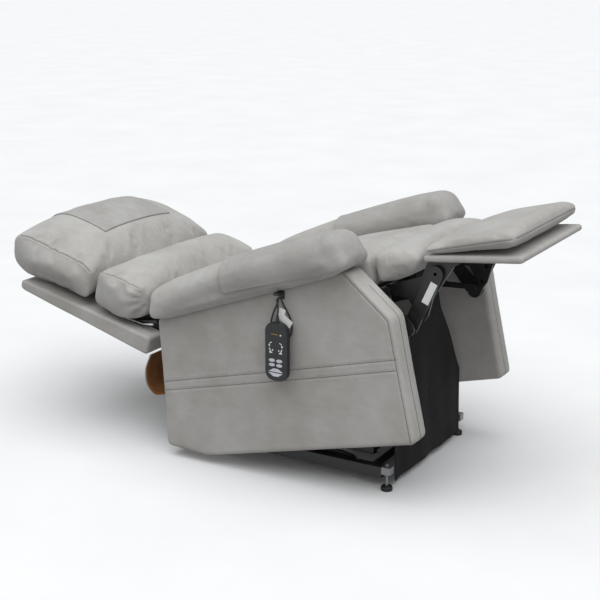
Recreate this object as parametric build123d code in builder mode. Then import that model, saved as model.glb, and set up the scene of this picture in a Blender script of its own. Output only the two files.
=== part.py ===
"""Lift recliner chair, reclined, tilted back and with its footrest out.

Millimetres. +X is the sitter's left, +Y the back, +Z up. The origin is on the floor, under the middle
of the chair's box. Three side views are drawn in: the floor view (Y, Z), the seat view (back, up) of
the tilted seat, and the back view (along, out) of the reclined backrest.
"""
from build123d import *
from math import atan2, cos, degrees, hypot, radians, sin
import os

# Driving dimensions
CHAIR_CENTRE = 475.3  # the front feet stand this far in front of the origin
SEAT_TILT = 14.28  # how far the seat leans back
SEAT_CORNER = (-CHAIR_CENTRE - 134.5, 201.0)  # the arms' lower front corner, in the floor view
BACK_SLOPE = 30.4  # the reclined back above the seat's own level
BACK_CORNER = (876.0, 321.0)  # lower rear edge of the outer back, in the seat view

ARM_INNER = 278.0
ARM_OUTER = 362.0
ROLL_INNER = 268.0
ROLL_OUTER = 411.0
COVER_THICKNESS = 4.0
CUSHION_HALF = 264.0
PILLOW_HALF = 333.0
LOWER_PILLOW_HALF = 240.0
OUTER_BACK_HALF = 325.0
HEAD_COVER_HALF = 176.0
FOOTREST_HALF = 247.0
PAD_HALF = 255.0
SKIRT_HALF = 236.0
SKIRT_TOP_HALF = 95.0
SKIRT_WIDE_TOP = 230.0  # the cloth narrows above this height

# Base and lifting carriage
RAIL_INNER = 240.0
RAIL_OUTER = 266.0
RAIL_BOTTOM = 37.0
RAIL_TOP = 72.0
RAIL_FRONT = -CHAIR_CENTRE + 12
RAIL_REAR = -CHAIR_CENTRE + 690
TUBE_WALL = 2.5
CARRIAGE_INNER = 200.0
CARRIAGE_OUTER = 222.0
CARRIAGE_BOTTOM = 85.0
CARRIAGE_TOP = 115.0
CARRIAGE_FRONT = -CHAIR_CENTRE + 60
CARRIAGE_REAR = -CHAIR_CENTRE + 600
SEAT_RAIL_BOTTOM = 385.0
SEAT_RAIL_TOP = 415.0
GLIDE_X = 253.0
GLIDE_YS = (-CHAIR_CENTRE, -CHAIR_CENTRE + 672)
GLIDE_RADIUS = 17.0
GLIDE_HEIGHT = 14.0

# Pivots in the floor view
LIFT_PIVOT = (-CHAIR_CENTRE + 130, 55.0)
CARRIAGE_PIVOT = (-CHAIR_CENTRE + 520, 100.0)
TILT_PIVOT = (-CHAIR_CENTRE + 546, 100.0)
LIFT_MOTOR_PIVOT = (-CHAIR_CENTRE + 634, 57.0)
LIFT_MOTOR_AIM = (-CHAIR_CENTRE + 300, 100.0)
# Pivots in the seat view
RECLINE_PIVOT = (665.0, 398.0)
RECLINE_MOTOR_PIVOT = (110.0, 360.0)
RECLINE_MOTOR_AIM = (655.0, 288.0)
FOOTREST_PIVOT = (54.0, 411.0)
BRACE_PIVOT = (10.0, 300.0)
BRACE_END = (-97.7, 437.9)
HANDSET_PIVOT = (314.0, 457.0)

PIN_RADIUS = 8.0
SMALL_PIN_RADIUS = 6.0
RECLINE_PIN_RADIUS = 7.0
STUD_RADIUS = 4.0
FRONT_BRACKET_BOTTOM = 50.0
BACK_TUBE = (-60.0, 88.0)  # cross tube of the back's frame, in the back view
FLAP_HALF = 300.0
FLAP_THICKNESS = 4.0
RUNNING_GAP = 0.05

# Stations of the side plates, from the middle outwards
TILT_BRACKET = (187.0, 195.0)
FOOTREST_ARM = (213.0, 219.0)
FOOTREST_BRACE = (226.0, 232.0)
LIFT_LINK = (227.0, 235.0)
PIVOT_PLATE = (246.0, 254.0)  # the footrest mounts and the back's posts
MOTOR_LUG = (24.0, 30.0)
LINK_WIDTH = 44.0
SPREADER_RADIUS = 10.0  # the lift arm's cross tube
SPREADER_BORE = 7.5

# Linear motors
MOTOR_WIDTH = 40.0
MOTOR_HEIGHT = 34.0
MOTOR_CORNER = 6.0
MOTOR_TAIL = 10.0  # the housing behind its pivot
ROD_RADIUS = 8.0
ROD_BORE = 8.5

# Handset, hanging beside the sitter's right arm
HANDSET_X = -402.0
HANDSET_Y = -201.3
HANDSET_Z = 414.0
HANDSET_WIDTH = 72.0
HANDSET_HEIGHT = 170.0
HANDSET_DEPTH = 22.0
KEY_DEPTH = 3.0
KEY_PROUD = 1.5
KEY_GAP = 0.4
CORD_RADIUS = 2.5

RELIEF_LENGTH = 20.0

SIDES = (("left", 1), ("right", -1))
ON_FLOOR = (Align.CENTER, Align.CENTER, Align.MIN)

os.makedirs("parts", exist_ok=True)


def floor_view(x):
    return Plane(origin=(x, 0, 0), x_dir=(0, 1, 0), z_dir=(1, 0, 0))


def seat_view(x):
    lean = radians(SEAT_TILT)
    return Plane(origin=(x, *SEAT_CORNER), x_dir=(0, cos(lean), -sin(lean)), z_dir=(1, 0, 0))


def back_view(x):
    corner = seat_view(x).from_local_coords(Vector(*BACK_CORNER))
    rise = radians(BACK_SLOPE - SEAT_TILT)
    return Plane(origin=corner, x_dir=(0, cos(rise), sin(rise)), z_dir=(1, 0, 0))


def finish(piece, label):
    """Name one finished sub-part and write it."""
    piece.part.label = label
    export_step(piece.part, f"parts/{label}.step")


def low_x(x_start, x_end, sign):
    """The lower x of a piece that is drawn for the left side, on either side."""
    return x_start if sign > 0 else -x_end


def punch(holes):
    """Round holes (x, y, radius) in the sketch that is open."""
    for across, up, radius in holes:
        with Locations((across, up)):
            Circle(radius, mode=Mode.SUBTRACT)


def add_plate(view, outline, x_start, x_end, sign=1, holes=(), mode=Mode.ADD):
    """A piece of even thickness along X, cut to a side-view outline."""
    with BuildSketch(view(low_x(x_start, x_end, sign))) as profile:
        with BuildLine():
            Polyline(*outline, close=True)
        make_face()
        punch(holes)
    extrude(profile.sketch, amount=x_end - x_start, mode=mode)


def add_link(view, start, end, width, x_start, x_end, sign, holes):
    """A flat bar with round ends."""
    turn = degrees(atan2(end[1] - start[1], end[0] - start[0]))
    middle = ((start[0] + end[0]) / 2, (start[1] + end[1]) / 2)
    with BuildSketch(view(low_x(x_start, x_end, sign))) as profile:
        with Locations(Location((*middle, 0), (0, 0, turn))):
            SlotCenterToCenter(hypot(end[0] - start[0], end[1] - start[1]), width)
        punch(holes)
    extrude(profile.sketch, amount=x_end - x_start)


def add_round(view, centre, radius, x_start, x_end, sign=1, bore=0.0):
    """A pin, or a round tube when it has a bore, along X."""
    with BuildSketch(view(low_x(x_start, x_end, sign))) as profile:
        with Locations(centre):
            Circle(radius)
            if bore:
                Circle(bore, mode=Mode.SUBTRACT)
    extrude(profile.sketch, amount=x_end - x_start)


def tube_section(width, height):
    RectangleRounded(width, height, TUBE_WALL)
    Rectangle(width - 2 * TUBE_WALL, height - 2 * TUBE_WALL, mode=Mode.SUBTRACT)


def add_cross_tube(view, low, high, half):
    """A rectangular tube along X between the two sides, given by its side-view box."""
    with BuildSketch(view(-half)) as profile:
        with Locations(((low[0] + high[0]) / 2, (low[1] + high[1]) / 2)):
            tube_section(high[0] - low[0], high[1] - low[1])
    extrude(profile.sketch, amount=2 * half)


def add_side_tube(view, start, end, bottom, top, x_start, x_end, sign):
    """A rectangular tube running from front to rear on one side."""
    side = view(sign * (x_start + x_end) / 2)
    section = Plane(origin=side.from_local_coords(Vector(start, (bottom + top) / 2)), x_dir=(1, 0, 0),
                    z_dir=side.x_dir)
    with BuildSketch(section) as profile:
        tube_section(x_end - x_start, top - bottom)
    extrude(profile.sketch, amount=end - start)


def plate(label, view, outline, x_start, x_end, sign=1, holes=()):
    """A whole sub-part that is one plate."""
    with BuildPart() as piece:
        add_plate(view, outline, x_start, x_end, sign, holes)
    finish(piece, label)


def seat_point(floor_point):
    """A floor-view point in the seat view."""
    local = seat_view(0).to_local_coords(Vector(0, *floor_point))
    return (local.X, local.Y)


def back_point(seat_view_point):
    """A seat-view point in the back view."""
    local = back_view(0).to_local_coords(seat_view(0).from_local_coords(Vector(*seat_view_point)))
    return (local.X, local.Y)


def make_base():
    for name, sign in SIDES:
        with BuildPart() as rail:
            add_side_tube(floor_view, RAIL_FRONT, RAIL_REAR, RAIL_BOTTOM, RAIL_TOP, RAIL_INNER, RAIL_OUTER,
                          sign)
            add_round(floor_view, LIFT_PIVOT, PIN_RADIUS, 223, RAIL_INNER, sign)
            with Locations((sign * GLIDE_X, GLIDE_YS[1], GLIDE_HEIGHT)):
                Cylinder(STUD_RADIUS, RAIL_BOTTOM - GLIDE_HEIGHT + 1, align=ON_FLOOR)
        finish(rail, f"base_rail_{name}")
        with BuildPart() as bracket:
            with Locations((sign * GLIDE_X, RAIL_FRONT, FRONT_BRACKET_BOTTOM)):
                Box(RAIL_OUTER - RAIL_INNER, 27, 22, align=(Align.CENTER, Align.MAX, Align.MIN))
            with Locations((sign * GLIDE_X, GLIDE_YS[0], GLIDE_HEIGHT)):
                Cylinder(STUD_RADIUS, 66, align=ON_FLOOR)
        finish(bracket, f"base_front_bracket_{name}")
        for place, y in zip(("front", "rear"), GLIDE_YS):
            with BuildPart() as pad:
                with Locations((sign * GLIDE_X, y, 0)):
                    Cylinder(GLIDE_RADIUS, GLIDE_HEIGHT, align=ON_FLOOR)
                fillet(pad.edges().sort_by(Axis.Z)[-1], 5)
                fillet(pad.edges().sort_by(Axis.Z)[0], 1.5)
            finish(pad, f"glide_pad_{place}_{name}")
    with BuildPart() as front_tube:
        front = RAIL_FRONT + 13
        add_cross_tube(floor_view, (front, 40), (front + 30, 70), RAIL_INNER)
    finish(front_tube, "base_tube_front")
    with BuildPart() as rear_tube:
        front = RAIL_REAR - 34
        add_cross_tube(floor_view, (front, 40), (front + 30, 70), RAIL_INNER)
        lug_front = LIFT_MOTOR_PIVOT[0] - 12
        lug = [(lug_front, 45), (front + 1, 42), (front + 1, 68), (lug_front, 69)]
        for name, sign in SIDES:
            add_plate(floor_view, lug, *MOTOR_LUG, sign)
    finish(rear_tube, "base_tube_rear")


def make_lift_arm():
    holes = [(*LIFT_PIVOT, PIN_RADIUS + RUNNING_GAP), (*CARRIAGE_PIVOT, PIN_RADIUS + RUNNING_GAP)]
    with BuildPart() as lift_arm:
        for name, sign in SIDES:
            add_link(floor_view, LIFT_PIVOT, CARRIAGE_PIVOT, LINK_WIDTH, *LIFT_LINK, sign, holes)
        add_round(floor_view, (-CHAIR_CENTRE + 325, 62), SPREADER_RADIUS, -LIFT_LINK[0] - 1,
                  LIFT_LINK[0] + 1, bore=SPREADER_BORE)
    finish(lift_arm, "lift_arm")


def make_carriage():
    for name, sign in SIDES:
        with BuildPart() as rail:
            add_side_tube(floor_view, CARRIAGE_FRONT, CARRIAGE_REAR, CARRIAGE_BOTTOM, CARRIAGE_TOP,
                          CARRIAGE_INNER, CARRIAGE_OUTER, sign)
            add_round(floor_view, CARRIAGE_PIVOT, PIN_RADIUS, CARRIAGE_OUTER, 238, sign)
            add_round(floor_view, TILT_PIVOT, PIN_RADIUS, 184, CARRIAGE_INNER, sign)
        finish(rail, f"carriage_rail_{name}")
    for place, y in (("front", 64), ("middle", 284), ("rear", 574)):
        low = -CHAIR_CENTRE + y
        with BuildPart() as tube:
            add_cross_tube(floor_view, (low, 88), (low + 24, 112), CARRIAGE_INNER)
        finish(tube, f"carriage_tube_{place}")
    skirt = [(15, 604), (1, 440), (-6, 300), (-10, 150), (-14, 24), (-17, 24), (-13, 150), (-9, 300),
             (-2, 440), (12, 604)]
    outline = [(y - CHAIR_CENTRE, z) for y, z in skirt]
    front = [(-SKIRT_HALF, 0), (SKIRT_HALF, 0), (SKIRT_HALF, SKIRT_WIDE_TOP), (SKIRT_TOP_HALF, 460),
             (60, 620), (-60, 620), (-SKIRT_TOP_HALF, 460), (-SKIRT_HALF, SKIRT_WIDE_TOP)]
    with BuildPart() as cloth:
        add_plate(floor_view, outline, -SKIRT_HALF, SKIRT_HALF)
        with BuildSketch(Plane.XZ.offset(CHAIR_CENTRE + 60)):
            with BuildLine():
                Polyline(*front, close=True)
            make_face()
        extrude(amount=-120, mode=Mode.INTERSECT)
    finish(cloth, "front_skirt")


def make_motor(label, view, pivot, aim, housing_length, rod_start, rod_end):
    """A linear actuator: a housing with a bore, and the rod that slides in it."""
    start = view(0).from_local_coords(Vector(*pivot))
    along = view(0).from_local_coords(Vector(*aim)) - start
    axis = Plane(origin=start, x_dir=(1, 0, 0), z_dir=along)
    with BuildPart() as housing:
        with BuildSketch(axis.offset(-MOTOR_TAIL)):
            RectangleRounded(MOTOR_WIDTH, MOTOR_HEIGHT, MOTOR_CORNER)
        extrude(amount=housing_length + MOTOR_TAIL)
        with BuildSketch(axis.offset(rod_start - 10)):
            Circle(ROD_BORE)
        extrude(amount=housing_length, mode=Mode.SUBTRACT)
    finish(housing, f"{label}_housing")
    with BuildPart() as rod:
        with BuildSketch(axis.offset(rod_start)):
            Circle(ROD_RADIUS)
        extrude(amount=rod_end - rod_start)
    finish(rod, f"{label}_rod")


ARM_SIDE = [(0, 0), (707, 0), (848, 43), (811, 210), (806, 242), (772, 432), (764, 436), (248, 483),
            (99, 500), (-10, 353), (-5, 215)]
ROLL_SIDE = [(99, 500), (248, 483), (764, 436), (774, 470), (776, 505), (756, 528), (681, 547), (478, 578),
             (199, 612), (112, 616), (82, 596), (68, 558), (66, 517)]
COVER_SIDE = [(99, 500), (248, 483), (478, 462.1), (478, 582), (199, 616), (110, 620), (78, 598), (64, 559),
              (62, 514)]


def make_arms():
    grown = COVER_THICKNESS
    for name, sign in SIDES:
        plate(f"arm_panel_{name}", seat_view, ARM_SIDE, ARM_INNER, ARM_OUTER, sign)
        plate(f"arm_roll_{name}", seat_view, ROLL_SIDE, ROLL_INNER, ROLL_OUTER, sign)
        with BuildPart() as cover:
            add_plate(seat_view, COVER_SIDE, ROLL_INNER - grown, ROLL_OUTER + grown, sign)
            add_plate(seat_view, ROLL_SIDE, ROLL_INNER, ROLL_OUTER, sign, mode=Mode.SUBTRACT)
        finish(cover, f"arm_cover_{name}")


def make_seat_frame():
    for name, sign in SIDES:
        with BuildPart() as rail:
            add_side_tube(seat_view, 45, 700, SEAT_RAIL_BOTTOM, SEAT_RAIL_TOP, 262, 277, sign)
            add_round(seat_view, RECLINE_PIVOT, RECLINE_PIN_RADIUS, 243, 262.5, sign)
        finish(rail, f"seat_rail_{name}")
        mount = [(40, 386), (40, 422), (66, 422), (84, 413), (84, 387), (46, 300), (24, 280), (0, 280),
                 (-12, 292), (-10, 312)]
        with BuildPart() as footrest_mount:
            add_plate(seat_view, mount, *PIVOT_PLATE, sign)
            add_round(seat_view, FOOTREST_PIVOT, SMALL_PIN_RADIUS, FOOTREST_ARM[0] - 2, PIVOT_PLATE[0], sign)
            add_round(seat_view, BRACE_PIVOT, SMALL_PIN_RADIUS, FOOTREST_BRACE[0] - 2, PIVOT_PLATE[0],
                      sign)
        finish(footrest_mount, f"footrest_mount_{name}")
    with BuildPart() as front_tube:
        add_cross_tube(seat_view, (84, 387), (114, 413), 262)
        for name, sign in SIDES:
            add_plate(seat_view, [(88, 388), (112, 388), (122, 350), (112, 342), (98, 346)], 22, 28, sign)
            add_plate(seat_view, [(88, 388), (112, 388), (108, 330), (-8, 306), (-8, 322), (86, 343)],
                      203, 209, sign)
    finish(front_tube, "seat_tube_front")
    with BuildPart() as rear_tube:
        add_cross_tube(seat_view, (600, 387), (630, 413), 262)
        tilt_pivot = seat_point(TILT_PIVOT)
        bracket = [(560, 386), (602, 388), (628, 388), (690, 386), (704, 90), (700, 52), (684, 46), (666, 54),
                   (660, 80)]
        for name, sign in SIDES:
            add_plate(seat_view, bracket, *TILT_BRACKET, sign,
                      holes=[(*tilt_pivot, PIN_RADIUS + RUNNING_GAP)])
    finish(rear_tube, "seat_tube_rear")
    plate("seat_deck", seat_view, [(80, 415), (640, 415), (640, 419), (80, 419)], -261, 261)
    with BuildPart() as box:
        with BuildSketch(seat_view(-60)):
            with Locations((325, 390)):
                RectangleRounded(130, 48, 5)
        extrude(amount=120)
    finish(box, "control_box")


def make_seat_cushions():
    plate("seat_cushion", seat_view,
          [(72, 420), (642, 420), (690, 470), (690, 506), (560, 514), (300, 521), (72, 521)],
          -CUSHION_HALF, CUSHION_HALF)
    plate("seat_front", seat_view,
          [(70, 431), (70, 520), (0, 523), (-56, 518), (-73, 500), (-74, 480), (-52, 454), (30, 438)],
          -CUSHION_HALF, CUSHION_HALF)


def make_back():
    plate("outer_back", back_view, [(0, 2), (8, 0), (512, 0), (524, 6), (525, 33), (0, 60)],
          -OUTER_BACK_HALF, OUTER_BACK_HALF)
    pivot = back_point(RECLINE_PIVOT)
    lever_end = back_point(RECLINE_MOTOR_AIM)
    post = [(pivot[0] - 20, pivot[1] - 6), (pivot[0] - 14, pivot[1] + 16), (pivot[0] + 10, pivot[1] + 18),
            (24, 102), (110, 74), (110, 54.4), (16, 59.3), (-80, 70), (pivot[0] - 8, pivot[1] - 20)]
    with BuildPart() as frame:
        for name, sign in SIDES:
            add_plate(back_view, post, *PIVOT_PLATE, sign,
                      holes=[(*pivot, RECLINE_PIN_RADIUS + RUNNING_GAP)])
            add_link(back_view, BACK_TUBE, lever_end, 26, 14, 20, sign, [(*BACK_TUBE, 10), (*lever_end, 5)])
        add_round(back_view, BACK_TUBE, 11, -247, 247, bore=8.5)
    finish(frame, "back_frame")
    plate("lower_pillow", back_view, [(-36, 246), (34, 216), (33, 108), (20, 104), (-18, 170)],
          -LOWER_PILLOW_HALF, LOWER_PILLOW_HALF)
    plate("middle_pillow", back_view,
          [(40, 110), (78, 86), (133, 66), (236, 72), (241, 195), (228, 216), (140, 230), (60, 226),
           (40, 210)], -PILLOW_HALF, PILLOW_HALF)
    plate("head_pillow", back_view,
          [(252, 72), (390, 56), (520, 48), (570, 76), (583, 128), (584, 180), (574, 214), (544, 238),
           (480, 248), (360, 246), (272, 228), (253, 200)], -PILLOW_HALF, PILLOW_HALF)
    plate("head_cover", back_view,
          [(340, 245.0), (360, 246.6), (480, 248.6), (544.6, 238.6), (574.6, 214.5), (584.6, 180),
           (583.8, 130), (587, 130), (588, 181), (577, 217), (546, 242), (480, 252), (360, 250), (340, 248.4)],
          -HEAD_COVER_HALF, HEAD_COVER_HALF)
    with BuildPart() as flap:
        with BuildSketch(seat_view(-FLAP_HALF)):
            with BuildLine() as curl:
                Spline((880, 316), (912, 272), (922, 225), (904, 190), (866, 186))
            trace(curl.line, FLAP_THICKNESS)
        extrude(amount=2 * FLAP_HALF)
    finish(flap, "back_flap")


def make_footrest():
    plate("footrest_board", seat_view, [(-77, 477), (-80, 495.5), (-354, 454.8), (-359, 450), (-356, 435)],
          -FOOTREST_HALF, FOOTREST_HALF)
    plate("calf_pad", seat_view,
          [(-86, 500), (-86, 516), (-180, 528), (-342, 530), (-359, 518), (-358, 490), (-345, 482),
           (-200, 492)], -PAD_HALF, PAD_HALF)
    arm = [(-182, 460.6), (-80, 476), (-50, 434), (10, 428), (36, 422), (60, 426), (69, 414), (66, 400),
           (52, 394), (4, 380), (-15, 320), (-30, 310), (-44, 322), (-72, 372), (-150, 448)]
    arm_holes = [(*FOOTREST_PIVOT, SMALL_PIN_RADIUS + RUNNING_GAP), (-52, 372, 7), (-64, 390, 7),
                 (-28, 328, 5)]
    brace_holes = [(*BRACE_PIVOT, SMALL_PIN_RADIUS + RUNNING_GAP), (*BRACE_END, 5)]
    for name, sign in SIDES:
        plate(f"footrest_arm_{name}", seat_view, arm, *FOOTREST_ARM, sign, holes=arm_holes)
        with BuildPart() as brace:
            add_link(seat_view, BRACE_PIVOT, BRACE_END, LINK_WIDTH, *FOOTREST_BRACE, sign, brace_holes)
        finish(brace, f"footrest_brace_{name}")


def handset_view(x):
    """Looking at the handset's front: local x to the chair's front, local y up, the normal outward."""
    return Plane(origin=(x, HANDSET_Y, HANDSET_Z), x_dir=(0, -1, 0), z_dir=(-1, 0, 0))


OVAL_KEYS = {"back_up": (-12, -24), "back_down": (12, -24), "feet_up": (-12, -37), "feet_down": (12, -37)}
LIFT_KEYS = {"lift_up": [(-23, -57), (23, -57), (8, -47.5), (-8, -47.5)],
             "lift_down": [(-23, -60.5), (-8, -70), (8, -70), (23, -60.5)]}


def key_sketch(name, grow=0.0):
    """One key's outline, grown all round for its pocket."""
    if name in OVAL_KEYS:
        with Locations(OVAL_KEYS[name]):
            Ellipse(9.5 + grow, 4.7 + grow)
    else:
        with BuildLine() as outline:
            Polyline(*LIFT_KEYS[name], close=True)
        edge = make_face(outline.edges())
        if grow:
            offset(edge, amount=grow, kind=Kind.INTERSECTION)


def make_handset():
    keys = list(OVAL_KEYS) + list(LIFT_KEYS)
    front = HANDSET_X - HANDSET_DEPTH / 2
    with BuildPart() as shell:
        with BuildSketch(handset_view(HANDSET_X + HANDSET_DEPTH / 2)):
            RectangleRounded(HANDSET_WIDTH, HANDSET_HEIGHT, 27)
        extrude(amount=HANDSET_DEPTH)
        fillet(shell.faces().sort_by(Axis.X)[0].edges(), 4)
        fillet(shell.faces().sort_by(Axis.X)[-1].edges(), 7)
        for key in keys:
            with BuildSketch(handset_view(front + KEY_DEPTH)):
                key_sketch(key, KEY_GAP)
            extrude(amount=KEY_DEPTH + 1, mode=Mode.SUBTRACT)
        with Locations((HANDSET_X, HANDSET_Y, HANDSET_Z + HANDSET_HEIGHT / 2 - 1)):
            Cone(6, 3.6, RELIEF_LENGTH + 1, align=ON_FLOOR)
    finish(shell, "handset_shell")
    for key in keys:
        with BuildPart() as cap:
            with BuildSketch(handset_view(front + KEY_DEPTH - 1.3)):
                key_sketch(key)
            extrude(amount=KEY_DEPTH - 1.3 + KEY_PROUD)
        finish(cap, f"key_{key}")
    hook_y, hook_z = hanging_point()
    with BuildPart() as hook:
        with Locations((-ARM_OUTER, hook_y, hook_z + 6)):
            Box(34, 18, 7, align=(Align.MAX, Align.CENTER, Align.MIN))
        with Locations((-ARM_OUTER, hook_y, hook_z - 10)):
            Box(4, 18, 23, align=(Align.MAX, Align.CENTER, Align.MIN))
    finish(hook, "handset_hook")


def hanging_point():
    """Where the handset's cord leaves the hook, in the floor view."""
    point = seat_view(0).from_local_coords(Vector(*HANDSET_PIVOT))
    return (point.Y, point.Z)


def cord_tube(label, route):
    """Straight runs joined by arcs as large as the runs allow."""
    points = [Vector(*point) for point in route]
    radii = []
    for before, point, after in zip(points, points[1:], points[2:]):
        into, out = point - before, after - point
        radii.append(0.45 * min(into.length, out.length) / tan_half(into.get_angle(out)))
    with BuildPart() as tube:
        with BuildLine() as path:
            FilletPolyline(*points, radius=radii)
        with BuildSketch(Plane(origin=points[0], z_dir=points[1] - points[0])):
            Circle(CORD_RADIUS)
        sweep(path=path.wire())
    print(label, "radii", [round(radius, 1) for radius in radii], "length", round(path.wire().length, 1))
    finish(tube, label)


def tan_half(angle):
    return sin(radians(angle) / 2) / cos(radians(angle) / 2)


def make_cords():
    """The handset's lead, straight under the hook, and the slack loop that hangs behind the handset."""
    hook_y, hook_z = hanging_point()
    relief_top = HANDSET_Z + HANDSET_HEIGHT / 2 + RELIEF_LENGTH + 1.6
    start = hook_z - 4
    cord_tube("handset_lead", [(-391, hook_y, start), (-391.5, hook_y - 2, start - 16),
                               (-396, hook_y - 8, start - 32), (HANDSET_X, HANDSET_Y, relief_top)])
    cord_tube("handset_slack", [
        (-377, hook_y + 3.2, start), (-377.3, hook_y + 6, start - 18), (-377, hook_y + 18, start - 40),
        (-377, hook_y + 28, start - 68), (-377, hook_y + 26, start - 98), (-377, hook_y + 10, start - 122),
        (-377, hook_y - 16, start - 126), (-377, hook_y - 37, start - 106),
        (-377, hook_y - 42, start - 76), (-377, hook_y - 32, start - 46),
        (-377.3, hook_y - 13, start - 20), (-377, hook_y - 3.2, start)])


make_base()
make_lift_arm()
make_carriage()
make_motor("lift_motor", floor_view, LIFT_MOTOR_PIVOT, LIFT_MOTOR_AIM, 215, 40, 290)
make_motor("recline_motor", seat_view, RECLINE_MOTOR_PIVOT, RECLINE_MOTOR_AIM, 330, 120, 531)
make_arms()
make_seat_frame()
make_seat_cushions()
make_back()
make_footrest()
make_handset()
make_cords()
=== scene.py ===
from math import atan2, cos, exp, hypot, pi, radians, sin

import bmesh
import bpy
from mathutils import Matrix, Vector, noise
from mathutils.bvhtree import BVHTree
from mathutils.kdtree import KDTree


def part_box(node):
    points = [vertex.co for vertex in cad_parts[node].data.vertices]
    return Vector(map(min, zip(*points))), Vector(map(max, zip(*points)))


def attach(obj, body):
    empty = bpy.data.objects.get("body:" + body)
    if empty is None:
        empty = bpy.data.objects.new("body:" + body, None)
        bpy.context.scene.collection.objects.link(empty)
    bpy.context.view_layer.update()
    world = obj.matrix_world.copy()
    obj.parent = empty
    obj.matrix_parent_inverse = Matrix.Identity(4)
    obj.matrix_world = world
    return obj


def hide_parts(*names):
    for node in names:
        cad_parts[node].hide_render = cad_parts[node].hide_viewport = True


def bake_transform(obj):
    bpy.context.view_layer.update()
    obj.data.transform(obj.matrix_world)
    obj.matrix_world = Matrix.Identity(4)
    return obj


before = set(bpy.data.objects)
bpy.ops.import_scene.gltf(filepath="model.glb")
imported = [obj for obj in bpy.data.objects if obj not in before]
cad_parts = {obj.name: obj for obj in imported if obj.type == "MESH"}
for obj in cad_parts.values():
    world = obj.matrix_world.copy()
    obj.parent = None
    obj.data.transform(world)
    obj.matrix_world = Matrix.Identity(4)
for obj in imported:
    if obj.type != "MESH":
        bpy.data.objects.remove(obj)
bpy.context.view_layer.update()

MM = 0.001
LEAN = radians(14.28)  # the seat view leans back by this in the floor view
SLOPE = radians(30.4)  # the back view rises by this in the seat view
SEAT_CORNER = (-609.8, 201.0)
BACK_CORNER = (876.0, 321.0)


def floor_view(x, y, z):
    return Vector((x, y, z)) * MM


def seat_view(x, v, w):
    y = SEAT_CORNER[0] + v * cos(LEAN) + w * sin(LEAN)
    z = SEAT_CORNER[1] - v * sin(LEAN) + w * cos(LEAN)
    return floor_view(x, y, z)


def back_view(x, s, t):
    v = BACK_CORNER[0] + s * cos(SLOPE) - t * sin(SLOPE)
    w = BACK_CORNER[1] + s * sin(SLOPE) + t * cos(SLOPE)
    return seat_view(x, v, w)


def width_of(node):
    """A CAD node's lowest and highest x, in mm."""
    low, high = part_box(node)
    return low[0] / MM, high[0] / MM


# ---------------------------------------------------------------- camera and cords

camera_data = bpy.data.cameras.new("camera")
camera = bpy.data.objects.new("camera", camera_data)
bpy.context.collection.objects.link(camera)
camera.location = (-3.2357, -1.9228, 1.4728)
camera.rotation_euler = (radians(74.604), 0, radians(-59.614))
camera_data.lens = 74.69
camera_data.sensor_width = 36
camera_data.shift_x = 0.0064
camera_data.shift_y = 0.0019
bpy.context.scene.camera = camera
bpy.context.scene.view_settings.view_transform = "Standard"


def rgb(red, green, blue):
    """An sRGB colour, 0 to 255, as a linear one."""
    return tuple((c / 255 / 12.92) if c < 10.3 else ((c / 255 + 0.055) / 1.055) ** 2.4
                 for c in (red, green, blue)) + (1,)


def new_material(name):
    material = bpy.data.materials.new(name)
    material.use_nodes = True
    nodes, links = material.node_tree.nodes, material.node_tree.links
    return material, nodes, links, nodes["Principled BSDF"]


def add_noise(nodes, links, source, scale, detail=3, roughness=0.55, stretch=None):
    texture = nodes.new("ShaderNodeTexNoise")
    texture.inputs["Scale"].default_value = scale
    texture.inputs["Detail"].default_value = detail
    texture.inputs["Roughness"].default_value = roughness
    if stretch:
        mapping = nodes.new("ShaderNodeMapping")
        mapping.inputs["Scale"].default_value = stretch
        links.new(source, mapping.inputs["Vector"])
        source = mapping.outputs["Vector"]
    links.new(source, texture.inputs["Vector"])
    return texture.outputs["Fac"]


def add_ramp(nodes, links, factor, low, high, start=0.3, end=0.7):
    ramp = nodes.new("ShaderNodeValToRGB")
    ramp.color_ramp.elements[0].position = start
    ramp.color_ramp.elements[1].position = end
    ramp.color_ramp.elements[0].color = low
    ramp.color_ramp.elements[1].color = high
    links.new(factor, ramp.inputs["Fac"])
    return ramp.outputs["Color"]


def add_mix(nodes, links, first, second, amount, blend="MULTIPLY"):
    mix = nodes.new("ShaderNodeMix")
    mix.data_type = "RGBA"
    mix.blend_type = blend
    mix.inputs["Factor"].default_value = amount
    links.new(first, mix.inputs["A"])
    links.new(second, mix.inputs["B"])
    return mix.outputs["Result"]


def add_bump(nodes, links, height, distance, strength, below=None):
    bump = nodes.new("ShaderNodeBump")
    bump.inputs["Distance"].default_value = distance
    bump.inputs["Strength"].default_value = strength
    links.new(height, bump.inputs["Height"])
    if below:
        links.new(below, bump.inputs["Normal"])
    return bump.outputs["Normal"]


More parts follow.
